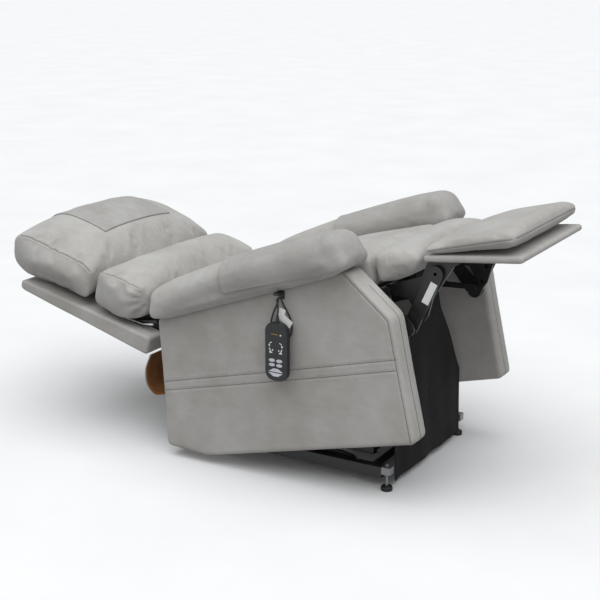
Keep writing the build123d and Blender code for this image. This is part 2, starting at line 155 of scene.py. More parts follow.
def suede(name, dark, light, nap=1.0):
    """Brushed microfibre: clouded nap, fine fibres and a soft sheen."""
    material, nodes, links, shader = new_material(name)
    place = nodes.new("ShaderNodeTexCoord").outputs["Object"]
    cloud = add_noise(nodes, links, place, 7, 4, 0.6)
    colour = add_ramp(nodes, links, cloud, dark, light, 0.32, 0.68)
    streak = add_noise(nodes, links, place, 60, 5, 0.7, (1, 0.35, 1))
    colour = add_mix(nodes, links, colour,
                     add_ramp(nodes, links, streak, (0.86, 0.86, 0.86, 1), (1.06, 1.06, 1.06, 1)), 0.5 * nap)
    fibre = add_noise(nodes, links, place, 1400, 2, 0.8)
    colour = add_mix(nodes, links, colour,
                     add_ramp(nodes, links, fibre, (0.8, 0.8, 0.8, 1), (1.1, 1.1, 1.1, 1)), 0.55 * nap)
    links.new(colour, shader.inputs["Base Color"])
    roughness = add_ramp(nodes, links, streak, (0.82, 0.82, 0.82, 1), (0.98, 0.98, 0.98, 1))
    links.new(roughness, shader.inputs["Roughness"])
    soft = add_bump(nodes, links, add_noise(nodes, links, place, 34, 3, 0.5), 0.0016, 0.32)
    links.new(add_bump(nodes, links, fibre, 0.0005, 0.34 * nap, soft), shader.inputs["Normal"])
    shader.inputs["Specular IOR Level"].default_value = 0.18
    shader.inputs["Sheen Weight"].default_value = 0.22
    shader.inputs["Sheen Roughness"].default_value = 0.45
    return material


def hard(name, dark, light, roughness, metallic=0.0, grain=900, bump=0.12, coat=0.0, patch=18):
    """Painted or plated metal and moulded plastic: uneven gloss, fine grain and rubbed patches."""
    material, nodes, links, shader = new_material(name)
    place = nodes.new("ShaderNodeTexCoord").outputs["Object"]
    worn = add_noise(nodes, links, place, patch, 6, 0.65)
    links.new(add_ramp(nodes, links, worn, dark, light, 0.35, 0.75), shader.inputs["Base Color"])
    low, high = roughness
    links.new(add_ramp(nodes, links, worn, (low, low, low, 1), (high, high, high, 1)),
              shader.inputs["Roughness"])
    fine = add_noise(nodes, links, place, grain, 2, 0.6)
    links.new(add_bump(nodes, links, fine, 0.0003, bump), shader.inputs["Normal"])
    shader.inputs["Metallic"].default_value = metallic
    shader.inputs["Coat Weight"].default_value = coat
    shader.inputs["Coat Roughness"].default_value = 0.25
    return material


GREY = suede("grey_suede", rgb(176, 173, 168), rgb(192, 190, 187))
COVER_GREY = suede("cover_suede", rgb(166, 163, 159), rgb(181, 179, 176), 1.3)
THREAD = suede("seam_thread", rgb(116, 113, 109), rgb(134, 131, 127), 0.6)
LINING = hard("flap_lining", rgb(110, 70, 34), rgb(150, 98, 50), (0.7, 0.9), grain=700, bump=0.4)
BLACK_CLOTH = suede("black_nonwoven", rgb(34, 33, 34), rgb(44, 43, 44), 0.9)
BLACK_CLOTH.node_tree.nodes["Principled BSDF"].inputs["Sheen Weight"].default_value = 0.0
BLACK_STEEL = hard("black_steel", rgb(20, 20, 21), rgb(38, 38, 39), (0.34, 0.52), 0.0, 1100, 0.1, 0.15)
GREY_STEEL = hard("grey_steel", rgb(128, 130, 132), rgb(162, 164, 166), (0.32, 0.5), 0.7)
BRIGHT_STEEL = hard("bright_steel", rgb(176, 178, 182), rgb(206, 208, 210), (0.18, 0.34), 1.0)
MOTOR = hard("motor_plastic", rgb(30, 31, 33), rgb(48, 49, 52), (0.42, 0.58), 0.0, 700, 0.2)
GLIDE = hard("glide_plastic", rgb(18, 18, 19), rgb(34, 34, 35), (0.45, 0.62), 0.0, 800, 0.2)
SHELL = hard("handset_plastic", rgb(22, 23, 25), rgb(34, 35, 38), (0.36, 0.5), 0.0, 1300, 0.16)
KEYS = hard("key_plastic", rgb(196, 198, 206), rgb(222, 224, 230), (0.42, 0.55), 0.0, 900, 0.08)
RUBBER = hard("cord_rubber", rgb(20, 20, 21), rgb(34, 34, 36), (0.5, 0.66), 0.0, 1200, 0.15)
PAPER = hard("blank_label", rgb(232, 232, 230), rgb(246, 246, 245), (0.5, 0.66), 0.0, 600, 0.06)
AMBER = hard("amber_print", rgb(176, 132, 30), rgb(206, 160, 46), (0.4, 0.5))


def link_object(name, data, material, body, replaced=()):
    """Put a piece in the scene, with its material, body and the CAD nodes it stands for."""
    obj = bpy.data.objects.new(name, data)
    bpy.context.collection.objects.link(obj)
    obj.data.materials.append(material)
    if body:
        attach(obj, body)
    if replaced:
        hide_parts(*replaced)
    return obj


def add_cord(name, node, route):
    """One free stretch of the handset's cord, along its route."""
    curve = bpy.data.curves.new(name, "CURVE")
    curve.dimensions = "3D"
    spline = curve.splines.new("NURBS")
    spline.points.add(len(route) - 1)
    for point, place in zip(spline.points, route):
        point.co = (*place, 1)
    spline.order_u = 3
    spline.use_endpoint_u = True
    curve.resolution_u = 10
    curve.bevel_depth = CORD_DIAMETER / 2
    curve.bevel_resolution = 4
    curve.use_fill_caps = True
    obj = link_object(name, curve, RUBBER, "handset", (node,))
    return obj


CORD_DIAMETER = 0.005
HANDSET = (-402.0, -201.3, 414.0)
HOOK = seat_view(0, 314, 457) / MM
HOOK_Y, CORD_TOP = HOOK.y, HOOK.z - 4
HALF_HANDSET, RELIEF_LENGTH = 85.0, 21.6
RELIEF_TOP = HANDSET[2] + HALF_HANDSET + RELIEF_LENGTH
LEAD_ROUTE = [(-391, HOOK_Y, CORD_TOP), (-391.5, HOOK_Y - 2, CORD_TOP - 16),
              (-396, HOOK_Y - 8, CORD_TOP - 32), (HANDSET[0], HANDSET[1], RELIEF_TOP)]
SLACK_ROUTE = [(-377, HOOK_Y + 3.2, CORD_TOP), (-377.3, HOOK_Y + 6, CORD_TOP - 18),
               (-377, HOOK_Y + 18, CORD_TOP - 40), (-377, HOOK_Y + 28, CORD_TOP - 68),
               (-377, HOOK_Y + 26, CORD_TOP - 98), (-377, HOOK_Y + 10, CORD_TOP - 122),
               (-377, HOOK_Y - 16, CORD_TOP - 126), (-377, HOOK_Y - 37, CORD_TOP - 106),
               (-377, HOOK_Y - 42, CORD_TOP - 76), (-377, HOOK_Y - 32, CORD_TOP - 46),
               (-377.3, HOOK_Y - 13, CORD_TOP - 20), (-377, HOOK_Y - 3.2, CORD_TOP)]
add_cord("lead", "handset_lead", [floor_view(*p) for p in LEAD_ROUTE])
add_cord("slack_loop", "handset_slack", [floor_view(*p) for p in SLACK_ROUTE])

# ---------------------------------------------------------------- floor and light

bpy.ops.mesh.primitive_circle_add(vertices=96, radius=60, fill_type="NGON")
ground = bpy.context.object
ground.name = "floor"
pale, nodes, links, shader = new_material("pale_floor")
tone = add_noise(nodes, links, nodes.new("ShaderNodeTexCoord").outputs["Object"], 2, 3)
floor_colour = add_ramp(nodes, links, tone, (0.86, 0.86, 0.87, 1), (0.9, 0.9, 0.9, 1))
links.new(floor_colour, shader.inputs["Base Color"])
shader.inputs["Roughness"].default_value = 0.9
shader.inputs["Specular IOR Level"].default_value = 0.1
ground.data.materials.append(pale)
ground.visible_diffuse = False

world = bpy.data.worlds.new("studio")
bpy.context.scene.world = world
world.use_nodes = True
world.node_tree.nodes["Background"].inputs["Color"].default_value = (0.97, 0.985, 1.0, 1)
world.node_tree.nodes["Background"].inputs["Strength"].default_value = 0.34


def add_light(name, place, aim, size, power, colour=(1, 1, 1)):
    data = bpy.data.lights.new(name, "AREA")
    data.size = size
    data.energy = power
    data.color = colour
    lamp = bpy.data.objects.new(name, data)
    bpy.context.collection.objects.link(lamp)
    lamp.location = place
    lamp.rotation_euler = (Vector(aim) - Vector(place)).to_track_quat("-Z", "Y").to_euler()


sun_data = bpy.data.lights.new("overhead", "SUN")
sun_data.energy = 2.5
sun_data.angle = radians(75)
sun_data.color = (0.97, 0.99, 1.0)
sun = bpy.data.objects.new("overhead", sun_data)
bpy.context.collection.objects.link(sun)
sun.rotation_euler = (radians(8), radians(-14), 0)
add_light("front_fill", (-3.4, -2.6, 1.5), (0, -0.1, 0.45), 2.6, 13, (1.0, 0.965, 0.925))

# ---------------------------------------------------------------- soft shapes


def smooth(value, low, high):
    """0 below low, 1 above high, eased between."""
    share = min(1.0, max(0.0, (value - low) / (high - low)))
    return share * share * (3 - 2 * share)


def rounded(outline, corner, spacing):
    """A closed outline with rounded corners, as evenly spaced points."""
    path = []
    for i, point in enumerate(outline):
        here = Vector(point)
        back_way = Vector(outline[i - 1]) - here
        onward = Vector(outline[(i + 1) % len(outline)]) - here
        reach = min(corner, 0.46 * back_way.length, 0.46 * onward.length)
        start, end = here + back_way.normalized() * reach, here + onward.normalized() * reach
        for k in range(8):
            share = k / 7
            path.append(start * (1 - share) ** 2 + here * (2 * share * (1 - share)) + end * share ** 2)
    return evenly(path + [path[0]], spacing)[:-1]


def evenly(path, spacing):
    """The same line with points about spacing apart."""
    lengths = [0.0]
    for before, after in zip(path, path[1:]):
        lengths.append(lengths[-1] + (after - before).length)
    count = max(2, round(lengths[-1] / spacing))
    points, place = [], 0
    for k in range(count + 1):
        target = lengths[-1] * k / count
        while place < len(path) - 2 and lengths[place + 1] < target:
            place += 1
        run = lengths[place + 1] - lengths[place]
        share = (target - lengths[place]) / run if run else 0
        points.append(path[place].lerp(path[place + 1], share))
    return points


def outward(points):
    """The outward normals of a closed outline."""
    area = sum(a.x * b.y - b.x * a.y for a, b in zip(points, points[1:] + points[:1]))
    sign = 1 if area > 0 else -1
    normals = []
    for i in range(len(points)):
        run = points[(i + 1) % len(points)] - points[i - 1]
        normals.append(Vector((run.y, -run.x)).normalized() * sign)
    return normals


def grow(points, amount):
    """A closed outline moved outwards."""
    return [p + n * amount for p, n in zip(points, outward(points))]


EDGE_STEPS = 6
CAP_SCALES = (0.94, 0.86, 0.76, 0.64, 0.5, 0.35, 0.18)


def soft_rings(outline, low, high, edge, corner, spacing, bulge, inward=0.0):
    """Rings of (x, a, b) across a stuffed piece, from one end cap's middle to the other's."""
    points = rounded(outline, corner, spacing)
    if inward:
        points = grow(points, -inward)
        low, high = low + inward, high - inward
    normals = outward(points)
    radii = [edge(p.x, p.y) if callable(edge) else edge for p in points]
    middle = sum(points, Vector((0, 0))) / len(points)
    rings = []
    for k in range(EDGE_STEPS + 1):
        turn = pi / 2 * k / EDGE_STEPS
        rings.append([(low + r * (1 - cos(turn)), p - n * (r * (1 - sin(turn))))
                      for p, n, r in zip(points, normals, radii)])
    cap = [[(low - bulge * (1 - scale ** 2), middle.lerp(p, scale)) for x, p in rings[0]]
           for scale in reversed(CAP_SCALES)]
    inner = round((high - low) / spacing)
    for k in range(1, inner):
        share = k / inner
        rings.append([(low + r + (high - low - 2 * r) * share, p) for p, r in zip(points, radii)])
    for k in reversed(range(EDGE_STEPS + 1)):
        turn = pi / 2 * k / EDGE_STEPS
        rings.append([(high - r * (1 - cos(turn)), p - n * (r * (1 - sin(turn))))
                      for p, n, r in zip(points, normals, radii)])
    far_cap = [[(high + bulge * (1 - scale ** 2), middle.lerp(p, scale)) for x, p in rings[-1]]
               for scale in CAP_SCALES]
    ends = [(low - bulge, middle), (high + bulge, middle)]
    return cap + rings + far_cap, ends


def soft_body(name, view, outline, low, high, material, body, edge=10, corner=14, spacing=8.0, bulge=0.0,
              shape=None, inward=0.0, slot="upholstery", replaced=()):
    """A stuffed piece across X, from its side outline, as one closed mesh."""
    rings, ends = soft_rings(outline, low, high, edge, corner, spacing, bulge, inward)
    mesh = bmesh.new()

    def vertex(x, point):
        local = (x, point.x, point.y)
        if shape:
            local = shape(*local)
        return mesh.verts.new(view(*local))

    rows = [[vertex(x, p) for x, p in ring] for ring in rings]
    tips = [vertex(x, p) for x, p in ends]
    count = len(rows[0])
    for row, following in zip(rows, rows[1:]):
        for i in range(count):
            mesh.faces.new((row[i - 1], row[i], following[i], following[i - 1]))
    for row, tip in ((rows[0], tips[0]), (rows[-1], tips[1])):
        for i in range(count):
            mesh.faces.new((row[i - 1], row[i], tip))
    bmesh.ops.recalc_face_normals(mesh, faces=mesh.faces)
    return mesh_object(name, mesh, material, body, replaced)


def mesh_object(name, mesh, material, body, replaced=()):
    data = bpy.data.meshes.new(name)
    for face in mesh.faces:
        face.smooth = True
    mesh.to_mesh(data)
    mesh.free()
    return link_object(name, data, material, body, replaced)


def apply_modifiers(obj):
    """Bake an object's modifiers into its mesh."""
    bpy.context.view_layer.update()
    evaluated = obj.evaluated_get(bpy.context.evaluated_depsgraph_get())
    fresh = bpy.data.meshes.new_from_object(evaluated)
    obj.modifiers.clear()
    obj.data = fresh
    for face in fresh.polygons:
        face.use_smooth = True


CLOTH_PRESSURE = 4.0
CLOTH_FRAMES = 20
AFTER_CLOTH = 5  # smoothing steps that take out the finest wrinkles


def relax(obj, steps):
    relaxed = obj.modifiers.new("relax", "SMOOTH")
    relaxed.factor = 0.5
    relaxed.iterations = steps


def remesh(obj, voxel, steps=4):
    voxels = obj.modifiers.new("voxels", "REMESH")
    voxels.mode = "VOXEL"
    voxels.voxel_size = voxel * MM
    voxels.use_smooth_shade = True
    relax(obj, steps)
    apply_modifiers(obj)


def subdivide(obj):
    step = obj.modifiers.new("subdivide", "SUBSURF")
    step.levels = 1
    step.render_levels = 1
    apply_modifiers(obj)


def inflate(obj, cap):
    """Swell a stuffed piece with Cloth, with no point going further than cap."""
    rest = [v.co.copy() for v in obj.data.vertices]
    cloth = obj.modifiers.new("cloth", "CLOTH")
    cloth.settings.quality = 4
    cloth.settings.use_pressure = True
    cloth.settings.uniform_pressure_force = CLOTH_PRESSURE
    cloth.settings.effector_weights.gravity = 0
    cloth.settings.tension_stiffness = 12
    cloth.settings.compression_stiffness = 12
    cloth.settings.shear_stiffness = 4
    cloth.settings.bending_stiffness = 2.5
    cloth.collision_settings.use_collision = False
    scene = bpy.context.scene
    for number in range(1, CLOTH_FRAMES + 1):
        scene.frame_set(number)
    evaluated = obj.evaluated_get(bpy.context.evaluated_depsgraph_get())
    swollen = [v.co.copy() for v in evaluated.data.vertices]
    obj.modifiers.clear()
    scene.frame_set(1)
    for vertex, before, after in zip(obj.data.vertices, rest, swollen):
        move = after - before
        if move.length > cap * MM:
            move *= cap * MM / move.length
        vertex.co = before + move
    relax(obj, AFTER_CLOTH)
    apply_modifiers(obj)


def surface_of(obj):
    return BVHTree.FromPolygons([v.co for v in obj.data.vertices], [p.vertices[:] for p in obj.data.polygons])


def laid_on(obj, line, spacing=3.0, lift=0.0):
    """A line of points put down on a piece's surface."""
    tree = surface_of(obj)
    points = []
    for point in evenly([Vector(p) for p in line], spacing * MM):
        found, normal, index, distance = tree.find_nearest(point)
        points.append(found + normal * (lift * MM))
    return points


def groove(obj, lines, depth=2.4, width=7.0, raise_by=0.0):
    """Pull the cloth in along sewn lines, and let it stand up a little beside them."""
    points = [p for line in lines for p in line]
    tree = KDTree(len(points))
    for i, p in enumerate(points):
        tree.insert(p, i)
    tree.balance()
    mesh = obj.data
    normals = [v.normal.copy() for v in mesh.vertices]
    for vertex, normal in zip(mesh.vertices, normals):
        found, index, distance = tree.find(vertex.co)
        gap = distance / MM
        if gap < 3 * width:
            move = -depth * exp(-(gap / (0.45 * width)) ** 2)
            move += raise_by * exp(-((gap - width) / (0.7 * width)) ** 2)
            vertex.co += normal * (move * MM)
    mesh.update()


def tube(name, line, radius, material, body, sides=8, closed=False):
    """A thin round line of mesh along points in metres."""
    mesh = bmesh.new()
    rows = []
    up = Vector((0.31, 0.17, 0.94))
    for i, point in enumerate(line):
        run = (line[min(i + 1, len(line) - 1)] - line[max(i - 1, 0)]).normalized()
        across = run.cross(up)
        if across.length < 0.05:
            across = run.cross(Vector((1, 0, 0)))
        across.normalize()
        other = run.cross(across)
        up = other if other.dot(up) > 0 else -other
        rows.append([mesh.verts.new(point + (across * cos(a) + other * sin(a)) * (radius * MM))
                     for a in (2 * pi * k / sides for k in range(sides))])
    for row, following in zip(rows, rows[1:]):
        for k in range(sides):
            mesh.faces.new((row[k - 1], row[k], following[k], following[k - 1]))
    mesh.faces.new(rows[0])
    mesh.faces.new(rows[-1])
    bmesh.ops.recalc_face_normals(mesh, faces=mesh.faces)
    return mesh_object(name, mesh, material, body)


def sew(name, obj, lines, body, depth=2.4, width=7.0, raise_by=0.6, thread=0.9):
    """Sewn seams: a groove in the piece and its thread at the bottom."""
    laid = [laid_on(obj, line) for line in lines]
    groove(obj, laid, depth, width, raise_by)
    for number, line in enumerate(laid, 1):
        tube(f"{name}_{number}", laid_on(obj, line, 3.0, 0.1), thread, THREAD, body)


def crumple(obj, amplitude, size, seed):
    """Uneven stuffing: a slow wander of the surface along its normals."""
    mesh = obj.data
    normals = [v.normal.copy() for v in mesh.vertices]
    shift = Vector((seed * 7.3, seed * 3.1, seed * 5.7))
    for vertex, normal in zip(mesh.vertices, normals):
        value = noise.noise(vertex.co / (size * MM) + shift)
        value += 0.4 * noise.noise(vertex.co / (0.4 * size * MM) - shift)
        vertex.co += normal * (amplitude * value * MM)
    mesh.update()


# ---------------------------------------------------------------- backrest


PILLOW_HALF = 333
HEAD_RIM = 192  # the boxed sides' seam, in the back view
HEAD_CROWN = 58


def head_edge(s, t):
    return 8 + 8 * smooth(t, 90, 60)


def head_shape(x, s, t):
    """A boxed cushion: its top crowns up from the seams along its sides."""
    side = min(1.0, abs(x) / PILLOW_HALF)
    upper = smooth(t, HEAD_RIM - 70, 246)
    t -= HEAD_CROWN * upper * side ** 2.5
    return x, s, t


HEAD = [(252, 72), (390, 56), (520, 48), (572, 76), (585, 128), (586, 184), (574, 220), (544, 244),
        (480, 252), (360, 250), (272, 236), (253, 210)]
MIDDLE = [(40, 110), (78, 86), (133, 66), (236, 72), (241, 195), (232, 222), (140, 236), (60, 230), (40, 210)]
LOWER = [(-36, 246), (34, 216), (33, 108), (20, 104), (-18, 170)]
HEAD_SEAM = [(262, 176), (300, 188), (380, 192), (470, 191), (530, 186), (560, 178)]
MIDDLE_SEAM = [(234, 192), (170, 203), (110, 204), (76, 200)]


def cushion(name, view, outline, node, body, shape, edge, corner, start_in, cap, bulge=6.0, voxel=5.0,
            wander=(1.2, 120, 1)):
    """A stuffed piece that stands for a CAD node: inset by start_in, swollen again, then made uneven."""
    low, high = width_of(node)
    piece = soft_body(name, view, outline, low, high, GREY, body, edge=edge, corner=corner, bulge=bulge,
                      shape=shape, inward=start_in, replaced=(node,))
    remesh(piece, voxel)
    inflate(piece, cap)
    crumple(piece, *wander)
    subdivide(piece)
    return piece


head = cushion("head_cushion", back_view, HEAD, "head_pillow", "back", head_shape, head_edge, 26, 4, 15,
               bulge=5, wander=(1.4, 130, 1))
head_lines = [[back_view(sign * (PILLOW_HALF - 2), s, t) for s, t in HEAD_SEAM] for sign in (-1, 1)]
sew("head_seam", head, head_lines, "back", depth=1.6, width=5, raise_by=0.9, thread=0.8)


def middle_edge(s, t):
    return 10 + 18 * smooth(s, 90, 40) + 8 * smooth(t, 100, 70)


def middle_shape(x, s, t):
    """Boxed like the head cushion, with its lower corners gathered behind the arms."""
    side = min(1.0, abs(x) / PILLOW_HALF)
    t -= 34 * smooth(t, 130, 232) * side ** 2.6
    pull = smooth(abs(x), 285, PILLOW_HALF)
    reach = hypot(s - 40, t - 168)
    fold = sin(13 * atan2(t - 168, s - 40)) * exp(-(reach / 66) ** 2) * smooth(reach, 4, 30)
    x += (1 if x > 0 else -1) * pull * (8 * fold - 20 * smooth(s, 100, 45))
    return x, s, t


middle = cushion("middle_cushion", back_view, MIDDLE, "middle_pillow", "back", middle_shape, middle_edge, 30,
                 3, 14, bulge=7, wander=(1.4, 110, 2))
middle_lines = [[back_view(sign * (PILLOW_HALF - 5), s, t) for s, t in MIDDLE_SEAM] for sign in (-1, 1)]
sew("middle_seam", middle, middle_lines, "back", depth=1.3, width=5, raise_by=0.6, thread=0.7)
cushion("lower_cushion", back_view, LOWER, "lower_pillow", "back", None, 22, 20, 4, 10, bulge=4,
        wander=(1.2, 90, 3))


OUTER_BACK = [(0, 2), (8, 0), (512, 0), (524, 6), (525, 33), (0, 60)]


def outer_shape(x, s, t):
    return x, s, t + 1.5 * noise.noise(Vector((x / 160, s / 160, 3)))


low, high = width_of("outer_back")
outer = soft_body("outer_back_board", back_view, OUTER_BACK, low, high, GREY, "back", edge=9, corner=12,
                  spacing=9, shape=outer_shape, replaced=("outer_back",))


def laid_sheet(name, under, places, thickness, material, body, replaced, lift=1.2):
    """A cloth over a cushion: a grid of points put down on it, then given its thickness."""
    tree = surface_of(under)
    mesh = bmesh.new()
    rows = []
    for row in places:
        line = []
        for point in row:
            found, normal, index, distance = tree.find_nearest(point)
            line.append(mesh.verts.new(found + normal * (lift * MM)))
        rows.append(line)
    for row, following in zip(rows, rows[1:]):
        for i in range(len(row) - 1):
            mesh.faces.new((row[i], row[i + 1], following[i + 1], following[i]))
    bmesh.ops.recalc_face_normals(mesh, faces=mesh.faces)
    sheet = mesh_object(name, mesh, material, body, replaced)
    solid = sheet.modifiers.new("thickness", "SOLIDIFY")
    solid.thickness = thickness * MM
    solid.offset = 1
    apply_modifiers(sheet)
    return sheet


HEAD_COVER_HALF = 176
COVER_PATH = [(343, 262), (400, 266), (470, 264), (536, 256), (582, 226), (598, 184), (598, 134)]


def head_cover_places():
    path = evenly([Vector(p) for p in COVER_PATH], 5)
    half = HEAD_COVER_HALF
    steps = 70
    return [[back_view(-half + 2 * half * k / steps, s, t) for k in range(steps + 1)] for s, t in path]


cover_sheet = laid_sheet("head_cover_cloth", head, head_cover_places(), 2.6, COVER_GREY, "back",
                         ("head_cover",), 0.9)

# ---------------------------------------------------------------- flap

FLAP = [(880, 316), (912, 272), (922, 225), (904, 190), (866, 186)]


def curled(points, spacing):
    """A smooth line through points, by Catmull-Rom."""
    points = [Vector(p) for p in points]
    ends = [2 * points[0] - points[1]] + points + [2 * points[-1] - points[-2]]
    path = []
    for a, b, c, d in zip(ends, ends[1:], ends[2:], ends[3:]):
        for k in range(12):
            u = k / 12
            path.append(0.5 * ((2 * b) + (c - a) * u + (2 * a - 5 * b + 4 * c - d) * u * u
                               + (3 * b - a - 3 * c + d) * u ** 3))
    return evenly(path + [points[-1]], spacing)


def strip(name, line, low, high, offset, thickness, material, view, body, step=12.0, waves=0.0):
    """A sheet across X along a side-view line, offset to one side of it."""
    mesh = bmesh.new()
    rows = []
    count = round((high - low) / step)
    for i, point in enumerate(line):
        run = line[min(i + 1, len(line) - 1)] - line[max(i - 1, 0)]
        normal = Vector((run.y, -run.x)).normalized()
        row = []
        for k in range(count + 1):
            x = low + (high - low) * k / count
            sway = waves * noise.noise(Vector((x / 90, i * 0.22, 1.7)))
            place = point + normal * (offset + sway)
            row.append(mesh.verts.new(view(x, place.x, place.y)))
        rows.append(row)
    for row, following in zip(rows, rows[1:]):
        for k in range(count):
            mesh.faces.new((row[k], row[k + 1], following[k + 1], following[k]))
    bmesh.ops.recalc_face_normals(mesh, faces=mesh.faces)
    sheet = mesh_object(name, mesh, material, body)
    solid = sheet.modifiers.new("thickness", "SOLIDIFY")
    solid.thickness = thickness * MM
    solid.offset = 0
    apply_modifiers(sheet)
    return sheet


flap_line = curled(FLAP, 5)
low, high = width_of("back_flap")
flap_outside = strip("flap_outside", flap_line, low, high, -0.9, 2.0, GREY, seat_view, "flap",
                     waves=0.5)
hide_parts("back_flap")
flap_inside = strip("flap_inside", flap_line, low + 3, high - 3, 1.2, 1.4, LINING, seat_view, "flap",
                    waves=0.5)

# ---------------------------------------------------------------- arms

ARM_SIDE = [(0, 0), (707, 0), (848, 43), (811, 210), (806, 242), (772, 432), (764, 436), (248, 483),
            (99, 500), (-10, 353), (-5, 215)]
ROLL_SIDE = [(99, 500), (248, 483), (764, 436), (774, 470), (776, 505), (756, 528), (681, 547), (478, 578),
             (199, 606), (114, 609), (84, 590), (69, 556), (66, 517)]


def roll_edge(v, w):
    under = 500 - (v - 99) * 0.096
    return 12 + 44 * smooth(w - under, 14, 62) * (1 - 0.62 * smooth(v, 150, 90))


def make_arm(side, sign):
    low, high = width_of(f"arm_panel_{side}")
    outer_x, inner_x = (high, low) if sign > 0 else (low, high)

    def panel_shape(x, v, w):
        out = smooth(sign * x, 300, 362)
        swell = 5.0 * out * sin(pi * smooth(v, 0, 790)) * sin(pi * min(1, max(0, w / 490)))
        return x + sign * swell, v, w

    panel = soft_body(f"arm_side_{side}", seat_view, ARM_SIDE, low, high, GREY, "seat", edge=11, corner=16,
                      spacing=9, bulge=0, shape=panel_shape, replaced=(f"arm_panel_{side}",))
    remesh(panel, 4.6, 3)
    crumple(panel, 0.7, 160, 4 + sign)
    middle_x = (outer_x + inner_x) / 2 - sign * 2
    seams = [[seat_view(outer_x, v, 212 + 3 * v / 800) for v in (6, 400, 806)],
             [seat_view(outer_x, v, 242) for v in (2, 400, 802)],
             [seat_view(outer_x, v, w) for v, w in ((12, 4), (7, 215), (3, 350), (110, 496))],
             [seat_view(middle_x, v, w) for v, w in ((2, 0), (-5, 215), (-10, 353), (60, 445))]]
    sew(f"arm_seam_{side}", panel, seams, "seat", depth=2.4, width=6, raise_by=0.7, thread=0.9)

    low, high = width_of(f"arm_roll_{side}")
    roll = soft_body(f"arm_top_{side}", seat_view, ROLL_SIDE, low, high, GREY, "seat", edge=roll_edge,
                     corner=26, spacing=7, bulge=2, inward=3,
                     replaced=(f"arm_roll_{side}",))
    remesh(roll, 5, 4)
    inflate(roll, 9)
    crumple(roll, 0.9, 120, 8 + sign)
    subdivide(roll)
    make_arm_cover(side, sign, roll)


HEM = [(482, 493), (170, 508), (40, 517)]


def hem_height(v):
    if v > HEM[1][0]:
        share = (v - HEM[1][0]) / (HEM[0][0] - HEM[1][0])
        return HEM[1][1] + share * (HEM[0][1] - HEM[1][1])
    share = (HEM[1][0] - v) / (HEM[1][0] - HEM[2][0])
    return HEM[1][1] + share * (HEM[2][1] - HEM[1][1])


def to_seat(point):
    """A point in metres back in the seat view: x, v, w in mm."""
    y, z = point.y / MM - SEAT_CORNER[0], point.z / MM - SEAT_CORNER[1]
    return point.x / MM, y * cos(LEAN) - z * sin(LEAN), y * sin(LEAN) + z * cos(LEAN)


COVER_REAR = 478


def cut(mesh, point, normal, drop=False):
    """Cut along a plane, and drop what is on the side that normal points to if asked."""
    geometry = mesh.verts[:] + mesh.edges[:] + mesh.faces[:]
    bmesh.ops.bisect_plane(mesh, geom=geometry, plane_co=point, plane_no=normal, clear_outer=drop)


def make_arm_cover(side, sign, roll):
    mesh = bmesh.new()
    mesh.from_mesh(roll.data)
    rear = seat_view(0, COVER_REAR, 500)
    cut(mesh, rear, seat_view(0, COVER_REAR + 10, 500) - rear, drop=True)
    joint = seat_view(0, HEM[1][0], 500)
    cut(mesh, joint, seat_view(0, HEM[1][0] + 10, 500) - joint)
    for first, second, front in ((HEM[0], HEM[1], False), (HEM[1], HEM[2], True)):
        start, end = seat_view(0, *first), seat_view(0, *second)
        normal = (end - start).cross(Vector((1, 0, 0)))
        if normal.dot(seat_view(0, first[0], first[1] - 10) - start) < 0:
            normal = -normal
        faces = [f for f in mesh.faces if (to_seat(f.calc_center_median())[1] < HEM[1][0]) == front]
        parts = set(faces)
        for f in faces:
            parts.update(f.verts)
            parts.update(f.edges)
        bmesh.ops.bisect_plane(mesh, geom=list(parts), plane_co=start, plane_no=normal)
    below = []
    for f in mesh.faces:
        x, v, w = to_seat(f.calc_center_median())
        if w < hem_height(v):
            below.append(f)
    bmesh.ops.delete(mesh, geom=below, context="FACES")
    mesh.normal_update()
    moves = []
    for vertex in mesh.verts:
        x, v, w = to_seat(vertex.co)
        loose = smooth(w - hem_height(v), 46, 0)
        rear_lift = smooth(v, COVER_REAR - 22, COVER_REAR)
        moves.append((vertex, vertex.normal * ((1.8 + 4.2 * loose + 1.8 * rear_lift) * MM)))
    for vertex, move in moves:
        vertex.co += move
    cover = mesh_object(f"arm_cover_cloth_{side}", mesh, COVER_GREY, "seat",
                        (f"arm_cover_{side}",))
    solid = cover.modifiers.new("thickness", "SOLIDIFY")
    solid.thickness = 2.8 * MM
    solid.offset = 1
    apply_modifiers(cover)


make_arm("left", 1)
make_arm("right", -1)

# ---------------------------------------------------------------- seat and footrest

CUSHION_HALF = 264
SEAT = [(72, 420), (642, 420), (690, 470), (690, 508), (560, 520), (300, 530), (72, 530)]
SEAT_FRONT = [(70, 431), (70, 530), (0, 532), (-56, 524), (-73, 502), (-74, 480), (-52, 454), (30, 438)]


def seat_shape(x, v, w):
    side = min(1.0, abs(x) / CUSHION_HALF)
    return x, v, w - 16 * smooth(w, 460, 520) * side ** 3


cushion("seat_pad", seat_view, SEAT, "seat_cushion", "seat", seat_shape, 16, 22, 5, 9, bulge=1,
        wander=(1.3, 120, 11))


def front_shape(x, v, w):
    side = smooth(abs(x), 205, CUSHION_HALF)
    gather = sin(v * 0.42) * smooth(v, -70, -10) * smooth(v, 60, 20)
    x -= (1 if x > 0 else -1) * 2.2 * gather * side
    return x, v, w - 12 * smooth(w, 470, 520) * min(1, abs(x) / CUSHION_HALF) ** 4


cushion("seat_lip", seat_view, SEAT_FRONT, "seat_front", "seat", front_shape, 16, 22, 3, 8, bulge=2,
        voxel=4.5, wander=(1.0, 90, 12))

PAD_HALF = 255
PAD = [(-86, 500), (-86, 518), (-180, 534), (-340, 534), (-358, 520), (-358, 490), (-345, 482), (-200, 492)]


def pad_edge(v, w):
    return 7 + 5 * smooth(v, -150, -300)


